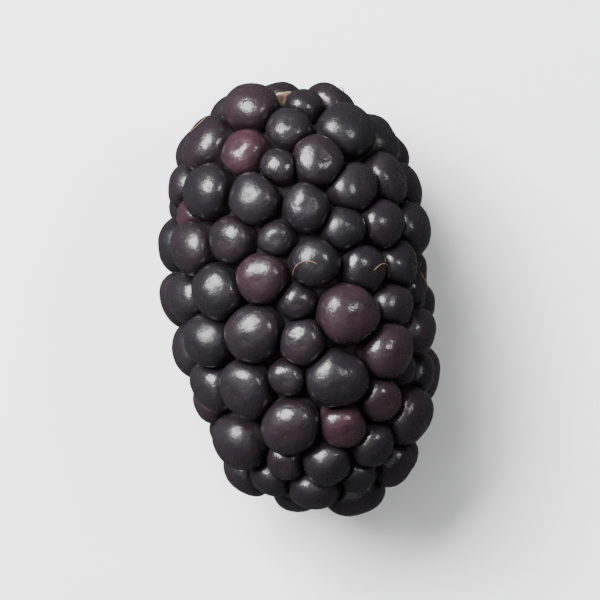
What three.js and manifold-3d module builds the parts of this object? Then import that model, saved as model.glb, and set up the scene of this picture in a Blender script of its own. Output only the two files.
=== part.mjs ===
// Bramble berry, picked and lying on its side. Millimetres, +Z up.
//
// The fruit is a head of juicy drupelets that grow in a spiral all over a tapered core, the receptacle,
// and press against each other. The stem end faces +Y, where the pale stub of the receptacle shows in a
// dimple ringed by drupelets, and the tip faces -Y. The lowest drupelets are pressed flat where the
// berry rests on Z = 0. The origin is the middle of the berry's footprint.

import * as THREE from "three";
import { ConvexHull } from "three/addons/math/ConvexHull.js";
import { mergeVertices } from "three/addons/utils/BufferGeometryUtils.js";
import Module from "manifold-3d";

const wasm = await Module();
wasm.setup();

// --- The whole berry --------------------------------------------------------------------------------
const BERRY_LENGTH = 33; // stem end to tip, for drupelets of mean size
const BERRY_WIDTH = 21; // across the widest ring of drupelets
const BERRY_HEIGHT = 20.6; // before it is pressed flat underneath
const STEM_TO_WIDEST = 13.5;
const STEM_ROUNDNESS = 2; // as an ellipsoid's half: more is blunter
const TIP_ROUNDNESS = 2.5;
const NOSE_DOWN = 2.5; // degrees: the tapered side lies along the table
const PRESSED = 0.8; // how much of the lowest drupelets is pressed flat

// --- Drupelets --------------------------------------------------------------------------------------
const DRUPELETS = 116;
const SPACING = 3.8; // between the middles of two neighbours of mean size
const DOME = 1.8; // from the middle of a mean drupelet to its outermost point
const GIRTH = 1.12; // width over spacing: over 1, so neighbours press flat against each other
const SMALL_SHARE = 0.12; // stunted drupelets, squeezed in among the others
const SMALL_SIZE = 0.72;
const SIZES = [0.84, 1.18]; // of the rest, around the mean
const UNEVEN = 0.3; // how far a drupelet stands proud of the others, or back
const LEAN = 0.12; // towards the tip, as a slope
const STRAY = new THREE.Vector3(6.3, 7.5, -3); // one here has swollen out past the shoulder
const STRAY_PROUD = 1.3;
const DOME_RINGS = [70, 46, 22]; // degrees from the outermost point, where a dome's facets bend
const GROOVE_SIDES = 0.93; // how near a dome's side comes to the middle of the groove
const GROOVE_HEIGHT = 0.1; // of the groove between two drupelets, over their middles
const PIT_HEIGHT = -0.7; // of the pit between three drupelets

// --- Settling of the drupelets against each other ---------------------------------------------------
const GOLDEN_TURN = Math.PI * (3 - Math.sqrt(5)); // the turn from one drupelet to the next in the spiral
const SETTLING_PASSES = 200;
const REACH = 1.2; // neighbours nearer than this many spacings push each other away
const PUSH = 0.16;
const SEAT_STEPS = 4; // of Newton's method, that bring a point onto the seat
const SEED = 15230;
const DRAW = { factor: 1664525, step: 1013904223, span: 2 ** 32 }; // from one draw to the next

// --- Receptacle's stub ------------------------------------------------------------------------------
const STUB_RADIUS = 1.5; // at its face
const STUB_ROOT_RADIUS = 1; // at its inner end
const STUB_LENGTH = 3;
const STUB_EDGE = 0.3; // the chamfer of its face
const STUB_GAP = 0.3; // all round it
const DIMPLE_RADIUS = 2.2; // clear of the drupelets that ring it
const DIMPLE_DEPTH = 1.4; // from the crowns of those drupelets to the seat's pole
const STUB_SIDES = 24;

// --- Meshing ----------------------------------------------------------------------------------------
const HALF_TURN = Math.PI + 1e-6; // an edge whose two opposite angles sum to more is flipped
const WELD = 1e-4; // corners nearer than this are one corner

const DRUPELET_SKIN = new THREE.MeshStandardMaterial({ color: 0x1d141b, roughness: 0.28, metalness: 0 });
const RECEPTACLE_PITH = new THREE.MeshStandardMaterial({ color: 0xb9b487, roughness: 0.8, metalness: 0 });

// The middles of the drupelets lie on the seat, a rounded, tapered surface about the Y axis. Y = 0 is
// its widest ring, and each side of that ring has its own length and roundness.
const seatHalf = { x: BERRY_WIDTH / 2 - DOME, z: BERRY_HEIGHT / 2 - DOME };
const stemSide = { long: STEM_TO_WIDEST - DOME + DIMPLE_DEPTH, round: STEM_ROUNDNESS };
const tipSide = { long: BERRY_LENGTH - STEM_TO_WIDEST - DOME, round: TIP_ROUNDNESS };
const stemPole = new THREE.Vector3(0, stemSide.long, 0);

// How far outside the seat a point is (negative inside), and which way that grows.
function seatField(p) {
  const { long, round } = p.y > 0 ? stemSide : tipSide;
  const across = Math.hypot(p.x / seatHalf.x, p.z / seatHalf.z);
  const along = Math.abs(p.y) / long;
  const steep = round * across ** (round - 2);
  const slope = new THREE.Vector3(
    (steep * p.x) / seatHalf.x ** 2,
    (Math.sign(p.y) * round * along ** (round - 1)) / long,
    (steep * p.z) / seatHalf.z ** 2,
  );
  return { value: across ** round + along ** round - 1, slope };
}

function dropOnSeat(p) {
  for (let step = 0; step < SEAT_STEPS; step++) {
    const { value, slope } = seatField(p);
    p.addScaledVector(slope, -value / slope.lengthSq());
  }
  return p;
}

function outward(p) {
  return seatField(p).slope.normalize();
}

// A repeatable draw from 0 to 1.
function seeded(seed) {
  let state = seed;
  return () => {
    state = (state * DRAW.factor + DRAW.step) % DRAW.span;
    return state / DRAW.span;
  };
}

// The places on the seat: a golden-angle spiral of drupelets from the stem end to the tip, then
// settled, so that each finds room for its size. The first place is the stub's and stays put.
function settledPlaces() {
  const random = seeded(SEED);
  const places = [{ at: stemPole.clone(), size: (2 * DIMPLE_RADIUS) / SPACING, proud: 0 }];
  for (let k = 1; k <= DRUPELETS; k++) {
    const small = random() < SMALL_SHARE;
    const size = small ? SMALL_SIZE : THREE.MathUtils.lerp(...SIZES, random());
    const rise = 1 - (2 * k) / (DRUPELETS + 1);
    const ring = Math.sqrt(1 - rise ** 2);
    const turn = k * GOLDEN_TURN;
    const at = new THREE.Vector3(
      ring * Math.cos(turn) * seatHalf.x,
      rise * (rise > 0 ? stemSide : tipSide).long,
      ring * Math.sin(turn) * seatHalf.z,
    );
    const proud = ((size - 1) * DOME) / 2 + THREE.MathUtils.lerp(-UNEVEN, UNEVEN, random());
    places.push({ at: dropOnSeat(at), size, proud });
  }
  for (let pass = 0; pass < SETTLING_PASSES; pass++) {
    const pushes = places.map(() => new THREE.Vector3());
    for (let a = 0; a < places.length; a++) {
      for (let b = a + 1; b < places.length; b++) {
        const apart = places[a].at.clone().sub(places[b].at);
        const room = (REACH * SPACING * (places[a].size + places[b].size)) / 2;
        if (apart.length() >= room) continue;
        apart.setLength(PUSH * (room - apart.length()));
        pushes[a].add(apart);
        pushes[b].sub(apart);
      }
    }
    for (let a = 1; a < places.length; a++) dropOnSeat(places[a].at.add(pushes[a]));
  }
  const distance = (place) => place.at.distanceTo(STRAY);
  places.reduce((a, b) => (distance(a) < distance(b) ? a : b)).proud = STRAY_PROUD;
  return places;
}

// The neighbours of each place, counter-clockwise as seen from outside. They come from a net of
// triangles over all the places, whose edges are flipped until no triangle is needlessly long.
function neighbours(points) {
  const third = points.map(() => new Map()); // third[a].get(b) is the third corner, left of a to b
  const join = (a, b, c) => {
    third[a].set(b, c);
    third[b].set(c, a);
    third[c].set(a, b);
  };
  for (const face of new ConvexHull().setFromPoints(points).faces) {
    join(...[0, 1, 2].map((corner) => points.indexOf(face.getEdge(corner).head().point)));
  }
  const toward = (tip, end) => points[end].clone().sub(points[tip]);
  const angle = (tip, a, b) => toward(tip, a).angleTo(toward(tip, b));
  for (let flipped = true; flipped; ) {
    flipped = false;
    for (let a = 0; a < points.length; a++) {
      for (const b of [...third[a].keys()]) {
        const c = third[a].get(b);
        const d = third[b].get(a);
        if (angle(c, a, b) + angle(d, a, b) < HALF_TURN) continue;
        third[a].delete(b);
        third[b].delete(a);
        join(a, d, c);
        join(d, b, c);
        flipped = true;
      }
    }
  }
  return third.map((next) => {
    const ring = [...next.keys()].slice(0, 1);
    while (ring.length < next.size) ring.push(next.get(ring.at(-1)));
    return ring;
  });
}

// The groove between two drupelets, or the pit between three: it lies nearer to the smaller ones.
function groove(places, members) {
  const point = new THREE.Vector3();
  let weight = 0;
  for (const member of members.sort((a, b) => a - b)) {
    point.addScaledVector(places[member].at, 1 / places[member].size);
    weight += 1 / places[member].size;
  }
  dropOnSeat(point.divideScalar(weight));
  return point.addScaledVector(outward(point), members.length > 2 ? PIT_HEIGHT : GROOVE_HEIGHT);
}

// One place's facets, from the grooves round it up to its outermost point. A drupelet is a round dome
// whose sides are pressed in by its neighbours, and the stub's place is a level floor.
function facets(places, self, ring) {
  const { at, size, proud } = places[self];
  const out = outward(at);
  const middle = at.clone().addScaledVector(out, proud);
  const axis = out.clone().add(new THREE.Vector3(0, -LEAN * (1 - Math.abs(out.y)), 0)).normalize();
  const dome = self === 0 ? PIT_HEIGHT : DOME * size;
  const girth = (GIRTH * SPACING * size) / 2;
  const levels = [
    ring.flatMap((next, n) => {
      const after = ring[(n + 1) % ring.length];
      return [groove(places, [self, next]), groove(places, [self, next, after])];
    }),
  ];
  for (const degrees of DOME_RINGS) {
    const fall = THREE.MathUtils.degToRad(degrees);
    const height = self === 0 ? dome : dome * Math.cos(fall);
    const bend = levels[0].map((foot) => {
      const side = foot.clone().sub(middle).projectOnPlane(axis);
      side.setLength(Math.min(GROOVE_SIDES * side.length(), girth * Math.sin(fall)));
      return side.add(middle).addScaledVector(axis, height);
    });
    levels.push(bend);
  }
  levels.push(levels[0].map(() => middle.clone().addScaledVector(axis, dome)));
  const corners = [];
  for (let level = 1; level < levels.length; level++) {
    const [lower, upper] = [levels[level - 1], levels[level]];
    lower.forEach((foot, n) => {
      const m = (n + 1) % lower.length;
      corners.push(foot, lower[m], upper[m]);
      if (level < levels.length - 1) corners.push(foot, upper[m], upper[n]);
    });
  }
  return corners;
}

// A closed geometry as a manifold-3d solid, and back.
function solidOf(geometry) {
  geometry.deleteAttribute("normal");
  geometry.deleteAttribute("uv");
  const merged = mergeVertices(geometry, WELD);
  const vertProperties = new Float32Array(merged.attributes.position.array);
  const triVerts = new Uint32Array(merged.index.array);
  return new wasm.Manifold(new wasm.Mesh({ numProp: 3, vertProperties, triVerts }));
}

function geometryOf(solid) {
  const mesh = solid.getMesh();
  const geometry = new THREE.BufferGeometry();
  geometry.setAttribute("position", new THREE.BufferAttribute(mesh.vertProperties, 3));
  geometry.setIndex(new THREE.BufferAttribute(mesh.triVerts, 1));
  return geometry;
}

function headOfDrupelets() {
  const places = settledPlaces();
  const rings = neighbours(places.map((place) => place.at));
  const corners = places.flatMap((place, self) => facets(places, self, rings[self]));
  return solidOf(new THREE.BufferGeometry().setFromPoints(corners));
}

// The stub's outline about the Y axis, from its inner end to its face, grown by a margin.
function stubProfile(margin) {
  const face = stemSide.long;
  return [
    new THREE.Vector2(0, face - STUB_LENGTH - margin),
    new THREE.Vector2(STUB_ROOT_RADIUS + margin, face - STUB_LENGTH - margin),
    new THREE.Vector2(STUB_RADIUS + margin, face - STUB_EDGE),
  ];
}

function stub() {
  const face = stemSide.long;
  const profile = stubProfile(0);
  profile.push(new THREE.Vector2(STUB_RADIUS - STUB_EDGE, face), new THREE.Vector2(0, face));
  return solidOf(new THREE.LatheGeometry(profile, STUB_SIDES));
}

// The hole that the stub sits in, open at the stem end.
function stubHole() {
  const mouth = stemSide.long + DOME;
  const profile = stubProfile(STUB_GAP);
  profile.push(new THREE.Vector2(STUB_RADIUS + STUB_GAP, mouth), new THREE.Vector2(0, mouth));
  return solidOf(new THREE.LatheGeometry(profile, STUB_SIDES));
}

// The berry is laid nose down, and pressed flat where it rests.
const head = headOfDrupelets().subtract(stubHole()).rotate([NOSE_DOWN, 0, 0]);
const { min, max } = head.boundingBox();
const table = min[2] + PRESSED;
const below = new THREE.BoxGeometry(2 * BERRY_WIDTH, 2 * BERRY_LENGTH, BERRY_HEIGHT);
below.translate(0, 0, table - BERRY_HEIGHT / 2);
const toOrigin = [-(min[0] + max[0]) / 2, -(min[1] + max[1]) / 2, -table];

const solids = {
  drupelets: head.subtract(solidOf(below)),
  receptacle: stub().rotate([NOSE_DOWN, 0, 0]),
};
const materials = { drupelets: DRUPELET_SKIN, receptacle: RECEPTACLE_PITH };
const berry = new THREE.Group();
for (const [name, solid] of Object.entries(solids)) {
  const mesh = new THREE.Mesh(geometryOf(solid.translate(toOrigin)), materials[name]);
  mesh.name = name;
  berry.add(mesh);
}

export default berry;
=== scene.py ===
import bmesh
import bpy
import numpy as np
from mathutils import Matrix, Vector


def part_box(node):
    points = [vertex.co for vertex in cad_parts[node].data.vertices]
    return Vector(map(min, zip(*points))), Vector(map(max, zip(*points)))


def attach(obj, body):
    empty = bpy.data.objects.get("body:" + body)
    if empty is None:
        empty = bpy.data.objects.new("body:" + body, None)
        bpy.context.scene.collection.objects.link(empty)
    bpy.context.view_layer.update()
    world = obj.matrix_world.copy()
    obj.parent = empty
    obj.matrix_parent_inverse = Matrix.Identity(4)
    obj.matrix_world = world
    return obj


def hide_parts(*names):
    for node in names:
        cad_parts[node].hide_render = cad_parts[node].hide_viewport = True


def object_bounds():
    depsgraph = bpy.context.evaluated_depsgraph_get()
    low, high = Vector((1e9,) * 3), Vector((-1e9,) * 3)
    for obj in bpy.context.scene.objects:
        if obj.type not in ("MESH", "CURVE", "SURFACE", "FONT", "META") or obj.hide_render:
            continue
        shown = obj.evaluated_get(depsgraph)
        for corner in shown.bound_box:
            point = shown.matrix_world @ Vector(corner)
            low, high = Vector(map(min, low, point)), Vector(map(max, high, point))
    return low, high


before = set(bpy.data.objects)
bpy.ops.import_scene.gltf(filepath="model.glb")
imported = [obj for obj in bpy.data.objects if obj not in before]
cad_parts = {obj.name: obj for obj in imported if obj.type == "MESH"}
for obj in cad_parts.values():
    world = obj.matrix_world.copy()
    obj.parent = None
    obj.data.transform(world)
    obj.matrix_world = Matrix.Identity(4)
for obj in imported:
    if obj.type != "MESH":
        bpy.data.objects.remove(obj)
cad_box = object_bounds()

# --- Drupelets ---------------------------------------------------------------------------------------
# A bramble berry is a head of drupelets: bags of juice in thin taut skin, round where they are free and
# pressed flat where they meet. They grow in a spiral on a tapered core, joined to it and to each other
# at their roots, and each has a pinhead scar on its crown where its style dropped.

# Their middles lie on one rounded surface about the Y axis, the seat, where they push each other until
# each has room for its size. Sizes are in millimetres in the berry's own axes, with its widest ring at
# Y = 0 and its tip at -Y.
MM = 0.001
BERRY_LENGTH = 33  # stem end to tip, for drupelets of mean size
BERRY_WIDTH = 21  # across the widest ring of drupelets
BERRY_HEIGHT = 20.6  # before it is pressed flat underneath
STEM_TO_WIDEST = 13.5
STEM_ROUNDNESS = 2  # as an ellipsoid's half: more is blunter
TIP_ROUNDNESS = 2.5
NOSE_DOWN = np.radians(2.5)  # the tapered side lies along the table
DRUPELETS = 116
SPACING = 3.8  # between the middles of two neighbours of mean size
DOME = 1.8  # from the middle of a mean drupelet to its outermost point
DIMPLE_RADIUS = 2.2  # clear of the drupelets that ring it
DIMPLE_DEPTH = 1.4  # from the crowns of those drupelets to the seat's pole
SMALL_SHARE = 0.12  # stunted drupelets, squeezed in among the others
SMALL_SIZE = 0.72
SIZES = (0.84, 1.18)  # of the rest, around the mean
UNEVEN = 0.3  # how far a drupelet stands proud of the others, or back
STRAY = np.array([6.3, 7.5, -3.0])  # one here has swollen out past the shoulder
STRAY_PROUD = 1.3
GOLDEN_TURN = np.pi * (3 - np.sqrt(5))  # from one drupelet to the next in the spiral
SETTLING_PASSES = 200
REACH = 1.2  # neighbours nearer than this many spacings push each other away
PUSH = 0.16
SEAT_STEPS = 4  # of Newton's method, that bring a point onto the seat
ON_AXIS = 1e-9
SEED = 15230
DRAW_FACTOR = 1664525  # from one draw to the next
DRAW_STEP = 1013904223
DRAW_SPAN = 2**32

seat_half = np.array([BERRY_WIDTH / 2 - DOME, BERRY_HEIGHT / 2 - DOME])
stem_long = STEM_TO_WIDEST - DOME + DIMPLE_DEPTH
tip_long = BERRY_LENGTH - STEM_TO_WIDEST - DOME


def unit(vectors):
    """The same directions, of length 1."""
    return vectors / np.linalg.norm(vectors, axis=-1, keepdims=True)


def seat_field(points):
    """How far outside the seat each point is, and which way that grows."""
    to_stem = points[:, 1] > 0
    long = np.where(to_stem, stem_long, tip_long)
    roundness = np.where(to_stem, STEM_ROUNDNESS, TIP_ROUNDNESS)
    across = np.hypot(points[:, 0] / seat_half[0], points[:, 2] / seat_half[1])
    along = np.abs(points[:, 1]) / long
    steep = roundness * np.maximum(across, ON_AXIS) ** (roundness - 2)
    slope = np.stack(
        [
            steep * points[:, 0] / seat_half[0] ** 2,
            np.sign(points[:, 1]) * roundness * along ** (roundness - 1) / long,
            steep * points[:, 2] / seat_half[1] ** 2,
        ],
        axis=1,
    )
    return across**roundness + along**roundness - 1, slope


def drop_on_seat(points):
    """The points, moved straight on to the seat."""
    for _ in range(SEAT_STEPS):
        value, slope = seat_field(points)
        points = points - slope * (value / (slope**2).sum(axis=1))[:, None]
    return points


def seeded(seed):
    """A repeatable draw from 0 to 1."""
    state = seed
    while True:
        state = (state * DRAW_FACTOR + DRAW_STEP) % DRAW_SPAN
        yield state / DRAW_SPAN


def settled_places():
    """Where each drupelet's middle is on the seat, how large it is, and how far it stands proud."""
    draw = seeded(SEED)
    at = [[0, stem_long, 0]]
    size = [2 * DIMPLE_RADIUS / SPACING]
    proud = [0.0]
    for k in range(1, DRUPELETS + 1):
        small = next(draw) < SMALL_SHARE
        size.append(SMALL_SIZE if small else SIZES[0] + (SIZES[1] - SIZES[0]) * next(draw))
        rise = 1 - 2 * k / (DRUPELETS + 1)
        ring = np.sqrt(1 - rise**2)
        turn = k * GOLDEN_TURN
        long = stem_long if rise > 0 else tip_long
        at.append([ring * np.cos(turn) * seat_half[0], rise * long, ring * np.sin(turn) * seat_half[1]])
        proud.append((size[-1] - 1) * DOME / 2 + UNEVEN * (2 * next(draw) - 1))
    at, size, proud = np.array(at), np.array(size), np.array(proud)
    at[1:] = drop_on_seat(at[1:])
    room = REACH * SPACING * (size[:, None] + size[None, :]) / 2
    np.fill_diagonal(room, 0)
    for _ in range(SETTLING_PASSES):
        apart = at[:, None] - at[None, :]
        distance = np.linalg.norm(apart, axis=2) + np.eye(len(at))
        push = PUSH * np.maximum(room - distance, 0) / distance
        at[1:] = drop_on_seat((at + (apart * push[:, :, None]).sum(axis=1))[1:])
    proud[np.linalg.norm(at - STRAY, axis=1).argmin()] = STRAY_PROUD
    return at, size, proud


# The berry lies nose down. The end of its core is a round stub whose box in the frame shows how far
# the berry's own axes are turned and moved there.
STUB_RADIUS = 1.5
STUB_ROOT_RADIUS = 1
STUB_LENGTH = 3
STUB_EDGE = 0.3  # the chamfer of its face
STUB_SIDES = 24


def nose_down(points):
    """Points in the berry's own axes, turned until the nose is down."""
    c, s = np.cos(NOSE_DOWN), np.sin(NOSE_DOWN)
    return points @ np.array([[1, 0, 0], [0, c, s], [0, -s, c]])


def stub_corners():
    """The corners of the plain stub, in the berry's own axes."""
    face = stem_long
    rings = [
        (STUB_ROOT_RADIUS, face - STUB_LENGTH),
        (STUB_RADIUS, face - STUB_EDGE),
        (STUB_RADIUS - STUB_EDGE, face),
    ]
    turns = np.linspace(0, 2 * np.pi, STUB_SIDES, endpoint=False)
    return np.array([[r * np.sin(t), y, r * np.cos(t)] for r, y in rings for t in turns])


stub_lying = nose_down(stub_corners())
stub_box = np.array(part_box("receptacle")) / MM
shift = (stub_box.sum(axis=0) - stub_lying.min(axis=0) - stub_lying.max(axis=0)) / 2


def lying(points):
    """Points in the berry's own axes, as the berry lies in the frame."""
    return nose_down(points) + shift


# A drupelet's own shape: a bulging oval dome on a tapered root, with a wall toward each neighbour and a
# dent at the scar.
GIRTH = 1.12  # width over spacing: over 1, so neighbours press flat against each other
LEAN = 0.12  # towards the tip, as a slope
ROOT_DEPTH = 2.4  # below the seat
SKIN_GAP = 0.02  # between two skins
CORNER_SOFTNESS = 13  # less makes rounder edges to the flats between neighbours
CROWN_SQUARENESS = (1.95, 2.3)  # 2 is a plain ellipsoid
OVAL = 0.07
LUMPS = 0.03
WAVES = 5
WAVE_TURNS = (2, 6)
DENT_DEPTH = 0.1
DENT_RADIUS = 0.45
DENT_SHARES = (0.2, 1)
FLAT_EDGE = 0.14  # how softly a flat on the table begins
CORE_DEPTH = 0.7  # of the flesh between the drupelets, below the seat
BALL_CUTS = 4
BALL_LIFT = 0.35  # puts more of a skin's corners on its outer side

at, size, proud = settled_places()
_, out = seat_field(at)
out = unit(out)
middle = at + out * proud[:, None]
axis = unit(out + np.array([0, -1, 0]) * (LEAN * (1 - np.abs(out[:, 1])))[:, None])
dome = DOME * size
girth = GIRTH * SPACING * size / 2
squareness = np.random.default_rng(SEED).uniform(*CROWN_SQUARENESS, len(at))


def unit_ball(subdivisions):
    """The corners and triangles of a ball of radius 1."""
    shape = bmesh.new()
    bmesh.ops.create_icosphere(shape, subdivisions=subdivisions, radius=1)
    corners = np.array([v.co[:] for v in shape.verts])
    triangles = np.array([[v.index for v in f.verts] for f in shape.faces])
    shape.free()
    return corners, triangles


def upright_frame(direction):
    """Two directions square to this one."""
    side = unit(np.cross(direction, [0.0, 0.0, 1.0] if abs(direction[2]) < 0.9 else [1.0, 0.0, 0.0]))
    return side, np.cross(direction, side)


def drupelet_skin(n, ball, rng):
    """One drupelet's skin, and the same points in its own axes, the third up from the seat."""
    side, other = upright_frame(axis[n])
    turn = rng.uniform(0, np.pi)
    first = side * np.cos(turn) + other * np.sin(turn)
    second = np.cross(axis[n], first)
    toward = ball @ np.array([first, second, axis[n]])

    oval = rng.uniform(-OVAL, OVAL)
    across = np.hypot(ball[:, 0] * (1 + oval), ball[:, 1] * (1 - oval)) / girth[n]
    up = np.abs(ball[:, 2]) / np.where(ball[:, 2] > 0, dome[n], ROOT_DEPTH)
    shape = (across ** squareness[n] + up ** squareness[n]) ** (CORNER_SOFTNESS / squareness[n])
    for m in range(1, len(at)):
        gap = middle[m] - middle[n]
        distance = np.linalg.norm(gap)
        if m == n or distance > 2 * SPACING:
            continue
        wall = distance * size[n] / (size[n] + size[m]) - SKIN_GAP / 2
        shape += (np.maximum(toward @ gap, 0) / (distance * wall)) ** CORNER_SOFTNESS
    reach = shape ** (-1 / CORNER_SOFTNESS)

    for _ in range(WAVES):
        wave = unit(rng.normal(size=3)) * rng.uniform(*WAVE_TURNS)
        reach *= 1 + LUMPS * np.sin(ball @ wave + rng.uniform(0, 2 * np.pi)) / 2
    off_crown = np.hypot(ball[:, 0], ball[:, 1]) * reach
    dent = DENT_DEPTH * rng.uniform(*DENT_SHARES) * size[n]
    reach -= np.where(ball[:, 2] > 0, dent * np.exp(-((off_crown / DENT_RADIUS) ** 2)), 0)
    own_place = ball * reach[:, None] + [0, 0, proud[n]]
    return middle[n] + toward * reach[:, None], own_place


def pressed_on_table(points):
    """Points below the table come up to it, with a soft edge round each flat."""
    points = points.copy()
    points[:, 2] = (points[:, 2] + np.sqrt(points[:, 2] ** 2 + FLAT_EDGE**2)) / 2
    return points


# Most drupelets are ripe to black, and one in twelve is a little behind. A few on the upper side are
# still wine-red: x and y of their crowns in the frame, and how far each is from ripe.
NEARLY_RIPE = 0.2
BEHIND = 0.35
ONE_IN_BEHIND = 12
UPPER_SIDE = 0.4
WINE_ONES = [
    (-2.3, 11.9, 0.9),
    (-8.8, 6.8, 0.9),
    (-3.6, 1.9, 0.5),
    (3.3, -2.1, 0.45),
    (2.3, -8.9, 0.9),
    (6.7, -9.1, 0.5),
]


def unripeness(crowns, rng):
    """0 is ripe to black, 1 is wine-red."""
    unripe = rng.uniform(0, NEARLY_RIPE, len(crowns))
    unripe[rng.choice(len(crowns), len(crowns) // ONE_IN_BEHIND, replace=False)] = BEHIND
    above = crowns[:, 2] > cad_box[1][2] / MM * UPPER_SIDE
    for x, y, how_far in WINE_ONES:
        away = np.where(above, np.hypot(crowns[:, 0] - x, crowns[:, 1] - y), np.inf)
        unripe[away.argmin()] = how_far
    return unripe


def core_skin(ball):
    """The fused flesh that the drupelets stand on, a little inside their middles."""
    points = ball * [seat_half[0], 1, seat_half[1]]
    points[:, 1] *= np.where(points[:, 1] > 0, stem_long, tip_long)
    points = drop_on_seat(points)
    _, slope = seat_field(points)
    return points - CORE_DEPTH * unit(slope)


def mesh_object(name, points, faces, **attributes):
    """A smooth-shaded mesh in the frame, from points in millimetres, with values on its corners."""
    mesh = bpy.data.meshes.new(name)
    mesh.from_pydata((points * MM).tolist(), [], [list(map(int, face)) for face in faces])
    mesh.shade_smooth()
    for key, values in attributes.items():
        kind, field = ("FLOAT_VECTOR", "vector") if np.ndim(values) == 2 else ("FLOAT", "value")
        values = np.ravel(values).astype(np.float32)
        mesh.attributes.new(key, kind, "POINT").data.foreach_set(field, values)
    made = bpy.data.objects.new(name, mesh)
    bpy.context.scene.collection.objects.link(made)
    return made


def head_of_drupelets():
    """All the skins and the flesh between them, as one mesh."""
    rng = np.random.default_rng(SEED)
    ball, triangles = unit_ball(BALL_CUTS)
    outer_ball = unit(ball + [0, 0, BALL_LIFT])
    unripe = unripeness(lying(middle + axis * dome[:, None]), rng)
    skins = [drupelet_skin(n, outer_ball, rng) for n in range(1, len(at))]
    core = core_skin(ball)
    points = np.concatenate([skin for skin, _ in skins] + [core])
    own_place = np.concatenate([own for _, own in skins] + [core * 0 + [0, 0, -ROOT_DEPTH]])
    faces = np.concatenate([triangles + n * len(ball) for n in range(len(skins) + 1)])
    ripeness = np.concatenate([np.repeat(unripe[1:], len(ball)), np.zeros(len(core))])
    points = pressed_on_table(lying(points))
    return mesh_object("drupelets_skin", points, faces, own_place=own_place, unripe=ripeness)


drupelets = head_of_drupelets()


def srgb(colour):
    """A colour written as sRGB hex, as linear red, green, blue and alpha."""
    parts = [int(colour[i : i + 2], 16) / 255 for i in (0, 2, 4)]
    return [c / 12.92 if c <= 0.04045 else ((c + 0.055) / 1.055) ** 2.4 for c in parts] + [1.0]


def set_inputs(made, inputs):
    """Sets a node's inputs, by name or number, to values, or links them to other nodes or their sockets."""
    for key, value in inputs.items():
        in_use = (socket for socket in made.inputs if socket.enabled and socket.name == key)
        into = made.inputs[key] if isinstance(key, int) else next(in_use)
        if isinstance(value, bpy.types.Node):
            value = next(socket for socket in value.outputs if socket.enabled)
        if isinstance(value, bpy.types.NodeSocket):
            made.id_data.links.new(value, into)
        else:
            into.default_value = value


def node(tree, kind, inputs=None, **settings):
    """Adds a node with its settings and inputs."""
    made = tree.nodes.new(kind)
    for name, value in settings.items():
        setattr(made, name, value)
    set_inputs(made, inputs or {})
    return made


def new_material(name):
    """An empty material, its node tree and its surface shader."""
    material = bpy.data.materials.new(name)
    material.use_nodes = True
    tree = material.node_tree
    return material, tree, tree.nodes["Principled BSDF"]


# Drupelet skin: a thin waxy film over dark juice. The eye gets near-black purple with clear, slightly
# soft highlights, wine-red where a drupelet isn't fully ripe, and skin that is never quite even. The
# colour holds painted shade: darker down in the grooves and, on wine-red drupelets, down their sides.
# Heights are over the seat, where two drupelets meet in a groove. The grain is a little coarser than a
# real skin's, so that it shows.
RIPE_SKIN = srgb("16161a")
RIPE_BROWN = srgb("1c191c")
# Painted shade: the darker, redder colour of the grooves and of the flesh between the drupelets.
GROOVE_SHADE = srgb("140c10")
# Painted light and shade: wine-red skin that is darker down a drupelet's sides and lighter on its crown.
WINE_SHADED_SIDE = srgb("2a1a20")
WINE_LIT_CROWN = srgb("38212a")
SCAR_BROWN = srgb("2b221c")
MOTTLE_SIZE = 1.6 * MM
MOTTLE_SPREAD = (0.3, 0.7)
GROOVE_SHADE_TO_OPEN = (-0.4, 0.9)
WINE_SHADE_TO_CROWN = (0.3, DOME)
WINE_PATCHES = (0.55, 1.2)
SCAR_RADII = (0.07, 0.17)
SCAR_SHARE = 0.8
PUCKER_SIZE = 0.55 * MM
PUCKER_SPREAD = (0.25, 0.75)
PUCKER_HEIGHT = 0.11 * MM
GRAIN_SIZE = 0.16 * MM
GRAIN_HEIGHT = 0.012 * MM
RELIEF_STRENGTH = 0.5
GLOSSY = (0.18, 0.3)
BLOOM_SIZE = 4.5 * MM
BLOOM_SPREAD = (0.45, 0.65)
BLOOM_DULLS = 0.1
GROOVE_TO_OPEN = (-0.5, 0.3)
GROOVE_ROUGHNESS = 0.9
SKIN_IOR = 1.47

skin, tree, shader = new_material("drupelet_skin")
place = node(tree, "ShaderNodeTexCoord").outputs["Object"]
unripe = node(tree, "ShaderNodeAttribute", attribute_name="unripe").outputs["Fac"]
own_place = node(tree, "ShaderNodeAttribute", attribute_name="own_place").outputs["Vector"]
own_x, own_y, own_height = node(tree, "ShaderNodeSeparateXYZ", {"Vector": own_place}).outputs
mottle = node(tree, "ShaderNodeTexNoise", {"Vector": place, "Scale": 1 / MOTTLE_SIZE, "Detail": 3})
pucker = node(tree, "ShaderNodeTexNoise", {"Vector": place, "Scale": 1 / PUCKER_SIZE})
grain = node(tree, "ShaderNodeTexNoise", {"Vector": place, "Scale": 1 / GRAIN_SIZE})
bloom = node(tree, "ShaderNodeTexNoise", {"Vector": place, "Scale": 1 / BLOOM_SIZE})

# Ripe skin is mottled, and has painted shade: a darker, redder colour down in the grooves that fades out up
# the drupelet.
mottled = node(tree, "ShaderNodeMix", {"Factor": mottle, "A": RIPE_SKIN, "B": RIPE_BROWN}, data_type="RGBA")
out_of_groove_shade = node(
    tree,
    "ShaderNodeMapRange",
    {"Value": own_height, "From Min": GROOVE_SHADE_TO_OPEN[0], "From Max": GROOVE_SHADE_TO_OPEN[1]},
)
ripe = node(tree, "ShaderNodeMix", {"Factor": out_of_groove_shade, "A": GROOVE_SHADE, "B": mottled}, data_type="RGBA")
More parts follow.
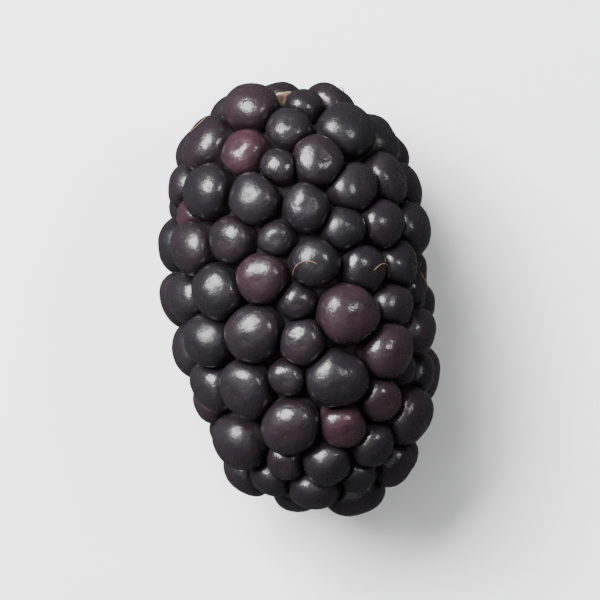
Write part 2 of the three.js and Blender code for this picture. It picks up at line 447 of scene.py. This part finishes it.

# Wine-red is lighter and stronger on the crowns and darker down the sides, painted light and shade, and
# comes and goes with the mottling.
up_to_lit_crown = node(
    tree,
    "ShaderNodeMapRange",
    {"Value": own_height, "From Min": WINE_SHADE_TO_CROWN[0], "From Max": WINE_SHADE_TO_CROWN[1]},
)
wine = node(
    tree, "ShaderNodeMix", {"Factor": up_to_lit_crown, "A": WINE_SHADED_SIDE, "B": WINE_LIT_CROWN}, data_type="RGBA"
)
patches = node(
    tree,
    "ShaderNodeMapRange",
    {
        "Value": mottle,
        "From Min": MOTTLE_SPREAD[0],
        "From Max": MOTTLE_SPREAD[1],
        "To Min": WINE_PATCHES[0],
        "To Max": WINE_PATCHES[1],
    },
)
wine_share = node(tree, "ShaderNodeMath", {0: unripe, 1: patches}, operation="MULTIPLY")
juicy = node(tree, "ShaderNodeMix", {"Factor": wine_share, "A": ripe, "B": wine}, data_type="RGBA")

# The scar is on the outer side alone: the roots' middles lie on the same line.
across = node(tree, "ShaderNodeCombineXYZ", {"X": own_x, "Y": own_y})
off_crown = node(tree, "ShaderNodeVectorMath", {"Vector": across}, operation="LENGTH")
scar = node(
    tree,
    "ShaderNodeMapRange",
    {
        "Value": off_crown,
        "From Min": SCAR_RADII[0],
        "From Max": SCAR_RADII[1],
        "To Min": SCAR_SHARE,
        "To Max": 0,
    },
    interpolation_type="SMOOTHSTEP",
)
outside = node(tree, "ShaderNodeMath", {0: own_height, 1: 0}, operation="GREATER_THAN")
outer_scar = node(tree, "ShaderNodeMath", {0: scar, 1: outside}, operation="MULTIPLY")
scarred = node(tree, "ShaderNodeMix", {"Factor": outer_scar, "A": juicy, "B": SCAR_BROWN}, data_type="RGBA")

# The skin is duller in the hollows of its pucker and in patches of bloom, and dull down in the grooves.
taut = node(
    tree,
    "ShaderNodeMapRange",
    {
        "Value": pucker,
        "From Min": PUCKER_SPREAD[0],
        "From Max": PUCKER_SPREAD[1],
        "To Min": GLOSSY[0],
        "To Max": GLOSSY[1],
    },
)
waxy = node(
    tree,
    "ShaderNodeMapRange",
    {"Value": bloom, "From Min": BLOOM_SPREAD[0], "From Max": BLOOM_SPREAD[1], "To Max": BLOOM_DULLS},
)
open_skin = node(tree, "ShaderNodeMath", {0: taut, 1: waxy}, operation="ADD")
in_groove = node(
    tree,
    "ShaderNodeMapRange",
    {
        "Value": own_height,
        "From Min": GROOVE_TO_OPEN[0],
        "From Max": GROOVE_TO_OPEN[1],
        "To Min": 1,
        "To Max": 0,
    },
)
roughness = node(tree, "ShaderNodeMix", {"Factor": in_groove, "A": open_skin, "B": GROOVE_ROUGHNESS})
puckered = node(
    tree, "ShaderNodeBump", {"Height": pucker, "Distance": PUCKER_HEIGHT, "Strength": RELIEF_STRENGTH}
)
grained = node(
    tree,
    "ShaderNodeBump",
    {"Height": grain, "Distance": GRAIN_HEIGHT, "Strength": RELIEF_STRENGTH, "Normal": puckered},
)
set_inputs(shader, {"Base Color": scarred, "Roughness": roughness, "Normal": grained, "IOR": SKIN_IOR})

drupelets.data.materials.append(skin)
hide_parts("drupelets")
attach(drupelets, "root")

# --- Receptacle --------------------------------------------------------------------------------------
# The core that the drupelets grow on comes away with the picked fruit. Its end shows as a pale,
# fibrous stub in the dimple at the stem end, torn off flat where the stalk was, with juice at its rim.
STUB_TURNS = 72
STUB_RIDGES = 11
RIDGE_HEIGHT = 0.035
RIDGES_UNEVEN = 1.6
TORN_LOBES = 3
TORN_HEIGHT = 0.09
TORN_GRAIN = 0.035  # rough all over
STRAND_RADIUS = 0.4
STRAND_DEPTH = 0.25  # of the pit where the middle strand pulled out
STUB_SIDE_RINGS = 6
STUB_EDGE_TURNS = (30, 60, 90)
STUB_FACE_RINGS = 10
STUB_SEED = 5


def receptacle_end():
    """The stub, from its root up its ridged side and over its torn face to the middle."""
    rng = np.random.default_rng(STUB_SEED)
    face = stem_long
    root = face - STUB_LENGTH
    edge = face - STUB_EDGE
    outline = [(STUB_ROOT_RADIUS, root)]
    for t in np.linspace(0, 1, STUB_SIDE_RINGS + 1)[1:]:
        wider = (STUB_RADIUS - STUB_ROOT_RADIUS) * t
        outline.append((STUB_ROOT_RADIUS + wider, root + (edge - root) * t))
    for a in np.radians(STUB_EDGE_TURNS):
        outline.append((STUB_RADIUS - STUB_EDGE * (1 - np.cos(a)), edge + STUB_EDGE * np.sin(a)))
    for r in np.linspace(STUB_RADIUS - STUB_EDGE, 0, STUB_FACE_RINGS)[1:-1]:
        outline.append((r, face))
    turns = np.linspace(0, 2 * np.pi, STUB_TURNS, endpoint=False)
    radius, y = np.array(outline).T[:, :, None]
    ridges = RIDGE_HEIGHT * np.sin(STUB_RIDGES * turns + RIDGES_UNEVEN * np.sin(2 * turns))
    ridged = radius + ridges * (radius > STUB_ROOT_RADIUS)
    torn = rng.normal(size=(len(radius), STUB_TURNS)) * TORN_GRAIN
    torn += TORN_HEIGHT * np.sin(TORN_LOBES * turns + 2 * radius) * np.cos(2 * radius)
    on_face = np.clip((y - edge) / STUB_EDGE, 0, 1)
    strand = STRAND_DEPTH * np.exp(-((radius / STRAND_RADIUS) ** 2))
    height = y + on_face * (torn - strand) - on_face * TORN_HEIGHT
    rings = np.stack([ridged * np.sin(turns), height + 0 * turns, ridged * np.cos(turns)], axis=2)
    points = rings.reshape(-1, 3).tolist()
    faces = []
    for ring in range(len(radius) - 1):
        for turn in range(STUB_TURNS):
            a, b = ring * STUB_TURNS + turn, ring * STUB_TURNS + (turn + 1) % STUB_TURNS
            faces.append([a, b, b + STUB_TURNS, a + STUB_TURNS])
    first, last = len(points), len(points) + 1
    points += [[0, root, 0], [0, face - STRAND_DEPTH - TORN_HEIGHT, 0]]
    top = (len(radius) - 1) * STUB_TURNS
    for turn in range(STUB_TURNS):
        after = (turn + 1) % STUB_TURNS
        faces.append([first, after, turn])
        faces.append([last, top + turn, top + after])
    points = np.array(points)
    return mesh_object("receptacle_end", lying(points), faces, stub_place=points - [0, face, 0])


receptacle = receptacle_end()

# Receptacle pith: soft plant tissue in fibres, matt and cream-green when fresh. The eye gets fine pale
# streaks that run out from the middle, browned at the torn tips and stained purple by juice at the rim.
PITH = srgb("aaa474")
PITH_GREEN = srgb("868a50")
PITH_BROWN = srgb("6d5237")
JUICE_STAIN = srgb("451b2e")
BLOTCH_SIZE = 0.77
FIBRE_WIDTH = 0.2
FIBRE_LENGTH = 0.9
FIBRE_DETAIL = 4
FIBRE_HEIGHT = 0.12 * MM
FIBRE_STRENGTH = 0.8
BROWN_FIBRES = (0.5, 0.72)
BROWN_SHARE = 0.7
STAIN_RAGGED = 1.4
STAIN_RADII = (1.4, 2.3)
STAIN_SHARE = 0.95
PITH_ROUGHNESS = 0.75
PITH_IOR = 1.42

pith, tree, shader = new_material("receptacle_pith")
stub_place = node(tree, "ShaderNodeAttribute", attribute_name="stub_place").outputs["Vector"]
stub_x, stub_y, stub_z = node(tree, "ShaderNodeSeparateXYZ", {"Vector": stub_place}).outputs
across = node(tree, "ShaderNodeCombineXYZ", {"X": stub_x, "Y": stub_z})
from_middle = node(tree, "ShaderNodeVectorMath", {"Vector": across}, operation="LENGTH")
around = node(tree, "ShaderNodeMath", {0: stub_x, 1: stub_z}, operation="ARCTAN2")
unrolled = node(tree, "ShaderNodeCombineXYZ", {"X": around, "Y": from_middle, "Z": stub_y})
stretch = (STUB_RADIUS / FIBRE_WIDTH, 1 / FIBRE_LENGTH, 1 / FIBRE_LENGTH)
stretched = node(tree, "ShaderNodeMapping", {"Vector": unrolled, "Scale": stretch})
fibres = node(tree, "ShaderNodeTexNoise", {"Vector": stretched, "Scale": 1, "Detail": FIBRE_DETAIL})
blotches = node(tree, "ShaderNodeTexNoise", {"Vector": stub_place, "Scale": 1 / BLOTCH_SIZE, "Detail": 3})

blotched = node(tree, "ShaderNodeMix", {"Factor": blotches, "A": PITH, "B": PITH_GREEN}, data_type="RGBA")
dried = node(
    tree,
    "ShaderNodeMapRange",
    {"Value": fibres, "From Min": BROWN_FIBRES[0], "From Max": BROWN_FIBRES[1], "To Max": BROWN_SHARE},
)
browned = node(tree, "ShaderNodeMix", {"Factor": dried, "A": blotched, "B": PITH_BROWN}, data_type="RGBA")
ragged = node(
    tree, "ShaderNodeMath", {0: blotches, 1: STAIN_RAGGED, 2: from_middle}, operation="MULTIPLY_ADD"
)
soaked = node(
    tree,
    "ShaderNodeMapRange",
    {"Value": ragged, "From Min": STAIN_RADII[0], "From Max": STAIN_RADII[1], "To Max": STAIN_SHARE},
    interpolation_type="SMOOTHSTEP",
)
stained = node(tree, "ShaderNodeMix", {"Factor": soaked, "A": browned, "B": JUICE_STAIN}, data_type="RGBA")
fibrous = node(
    tree, "ShaderNodeBump", {"Height": fibres, "Distance": FIBRE_HEIGHT, "Strength": FIBRE_STRENGTH}
)
set_inputs(shader, {"Base Color": stained, "Roughness": PITH_ROUGHNESS, "Normal": fibrous, "IOR": PITH_IOR})

receptacle.data.materials.append(pith)
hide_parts("receptacle")
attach(receptacle, "root")

# --- Dried styles ------------------------------------------------------------------------------------
# Each drupelet bore a style in the flower. Most drop, and a few stay on as withered threads, rooted in
# the scar on the crown and curled down over the skin.
STYLES = 12
STYLE_LENGTH = (1.6, 3.4)
STYLE_RADIUS = 0.04
STYLE_TAPER = ([0, 0.1, 0.9, 1], [0.6, 1.1, 0.7, 0.3])  # thickness along it
STYLE_CURL = 2.6  # radians, at most, from root to tip
STYLE_STIFFNESS = 5  # more bridges the grooves more
STYLE_CLEAR = 0.07  # of the skin below
STYLE_FREE_END = 0.25  # how far the tip lifts off
STYLE_STEPS = 14
STYLE_SIDES = 5
STYLE_SEED = 31


def skin_height(points):
    """How high the drupelets' skin stands over these points of the seat."""
    apart = points[:, None] - middle[None, 1:]
    up = (apart * axis[1:]).sum(axis=2)
    across = np.linalg.norm(apart - up[:, :, None] * axis[1:], axis=2) / girth[1:]
    crown = np.clip(1 - across ** squareness[1:], 0, 1) ** (1 / squareness[1:])
    near = np.linalg.norm(apart, axis=2) < SPACING
    return np.where(near, proud[1:] + dome[1:] * crown, 0).max(axis=1)


def style_path(n, rng):
    """The middle line of one style, from a crown over the grooves beside it, and the way out there."""
    side, other = upright_frame(axis[n])
    t = np.linspace(0, 1, STYLE_STEPS)
    turn = rng.uniform(0, 2 * np.pi) + rng.uniform(-STYLE_CURL, STYLE_CURL) * t
    steps = np.outer(np.cos(turn), side) + np.outer(np.sin(turn), other)
    steps[0] = 0
    crown = middle[n] + axis[n] * dome[n]
    foot = drop_on_seat(crown + rng.uniform(*STYLE_LENGTH) / STYLE_STEPS * steps.cumsum(axis=0))
    height = skin_height(foot) + STYLE_RADIUS + STYLE_CLEAR
    for _ in range(STYLE_STIFFNESS):
        height[1:-1] = np.maximum(height[1:-1], (height[:-2] + height[2:]) / 2)
    height += STYLE_FREE_END * t**3
    height[0] -= 2 * STYLE_RADIUS + STYLE_CLEAR
    way_out = unit(seat_field(foot)[1])
    return foot + way_out * height[:, None], way_out


def dried_styles():
    """All the threads, as one mesh of thin tapered tubes."""
    rng = np.random.default_rng(STYLE_SEED)
    along = np.linspace(0, 1, STYLE_STEPS)
    thickness = STYLE_RADIUS * np.interp(along, *STYLE_TAPER)
    around = np.linspace(0, 2 * np.pi, STYLE_SIDES, endpoint=False)
    points, faces = [], []
    for n in rng.choice(np.arange(1, len(at)), STYLES, replace=False):
        path, way_out = style_path(n, rng)
        sideways = unit(np.cross(way_out, np.gradient(path, axis=0)))
        start = STYLE_STEPS * STYLE_SIDES * len(points)
        rings = sideways[:, None] * np.cos(around)[:, None] + way_out[:, None] * np.sin(around)[:, None]
        points.append((path[:, None] + rings * thickness[:, None, None]).reshape(-1, 3))
        for step in range(STYLE_STEPS - 1):
            for s in range(STYLE_SIDES):
                a, b = (start + step * STYLE_SIDES + k % STYLE_SIDES for k in (s, s + 1))
                faces.append([a, b, b + STYLE_SIDES, a + STYLE_SIDES])
        faces.append([start + s for s in reversed(range(STYLE_SIDES))])
        faces.append([start + (STYLE_STEPS - 1) * STYLE_SIDES + s for s in range(STYLE_SIDES)])
    points = lying(np.concatenate(points))
    points[:, 2] = np.maximum(points[:, 2], STYLE_RADIUS)
    return mesh_object("dried_styles", points, faces)


styles = dried_styles()

# Dried style: a withered plant thread, brown and papery. The eye gets a hair-fine tan line, darker in
# places.
STYLE_TAN = srgb("86694c")
STYLE_BROWN = srgb("432c20")
STYLE_PATCH = 0.7 * MM
STYLE_ROUGHNESS = 0.7

thread, tree, shader = new_material("dried_style")
place = node(tree, "ShaderNodeTexCoord").outputs["Object"]
patches = node(tree, "ShaderNodeTexNoise", {"Vector": place, "Scale": 1 / STYLE_PATCH})
withered = node(
    tree, "ShaderNodeMix", {"Factor": patches, "A": STYLE_TAN, "B": STYLE_BROWN}, data_type="RGBA"
)
set_inputs(shader, {"Base Color": withered, "Roughness": STYLE_ROUGHNESS})

styles.data.materials.append(thread)
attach(styles, "root")

# --- Table, light and camera -------------------------------------------------------------------------
# A matt white table in a dim studio. A wide softbox at the upper left lights it, and a small weak one at
# the right opens the shadow and gives a second glint. The table isn't seen in reflections, so drupelets
# have dark edges. The camera looks straight down, from far enough away for a flat view.
TABLE_WHITE = srgb("f6f6f7")
TABLE_ROUGHNESS = 0.8
ROOM_GREY = srgb("f4f5f7")
ROOM_BRIGHT = 1.3
ROOM_DIM = 0.12
BRIGHT_FROM = 0.4
BRIGHT_WAY = (-0.38, 0.38, 0.84)
KEY_SIZE = (0.42, 0.36)
KEY_PLACE = Vector((-0.26, 0.29, 0.42))
KEY_POWER = 15
SIDE_SIZE = (0.1, 0.08)
SIDE_PLACE = Vector((0.3, 0.1, 0.4))
SIDE_POWER = 0.7
VIEW_HEIGHT = 0.55
VIEW_ROLL = np.radians(-7.5)
VIEW_FRAME = 0.046
SENSOR = 36
TABLE_HALF = 2.0

table_mesh = bpy.data.meshes.new("table")
table_corners = [(x * TABLE_HALF, y * TABLE_HALF, 0) for x, y in [(-1, -1), (1, -1), (1, 1), (-1, 1)]]
table_mesh.from_pydata(table_corners, [], [(0, 1, 2, 3)])
table = bpy.data.objects.new("table", table_mesh)
bpy.context.scene.collection.objects.link(table)
paint, tree, shader = new_material("matt_white_table")
set_inputs(shader, {"Base Color": TABLE_WHITE, "Roughness": TABLE_ROUGHNESS})
table.data.materials.append(paint)
table.visible_glossy = False

middle_of_berry = (Vector(cad_box[0]) + Vector(cad_box[1])) / 2


def softbox(name, place, size, power):
    """A rectangular lamp that faces the berry, with its long side level."""
    light = bpy.data.lights.new(name, "AREA")
    light.shape = "RECTANGLE"
    light.size, light.size_y = size
    light.energy = power
    lamp = bpy.data.objects.new(name, light)
    lamp.location = place
    lamp.rotation_euler = (middle_of_berry - place).to_track_quat("-Z", "Y").to_euler()
    bpy.context.scene.collection.objects.link(lamp)


softbox("key_softbox", KEY_PLACE, KEY_SIZE, KEY_POWER)
softbox("side_softbox", SIDE_PLACE, SIDE_SIZE, SIDE_POWER)

# The room is bright above and to the upper left, and dim at the height of the table.
world = bpy.data.worlds.new("studio")
world.use_nodes = True
tree = world.node_tree
heading = node(tree, "ShaderNodeTexCoord").outputs["Generated"]
brightward = node(tree, "ShaderNodeVectorMath", {0: heading, 1: BRIGHT_WAY}, operation="DOT_PRODUCT")
room = node(
    tree,
    "ShaderNodeMapRange",
    {"Value": brightward, "From Min": BRIGHT_FROM, "To Min": ROOM_DIM, "To Max": ROOM_BRIGHT},
    interpolation_type="SMOOTHSTEP",
)
set_inputs(tree.nodes["Background"], {"Color": ROOM_GREY, "Strength": room})
bpy.context.scene.world = world

lens = bpy.data.cameras.new("camera")
lens.sensor_width = SENSOR
lens.lens = SENSOR * VIEW_HEIGHT / VIEW_FRAME
lens.clip_start = 0.01
camera = bpy.data.objects.new("camera", lens)
camera.location = (middle_of_berry.x, middle_of_berry.y, middle_of_berry.z + VIEW_HEIGHT)
camera.rotation_euler = (0, 0, VIEW_ROLL)
bpy.context.scene.collection.objects.link(camera)
bpy.context.scene.camera = camera
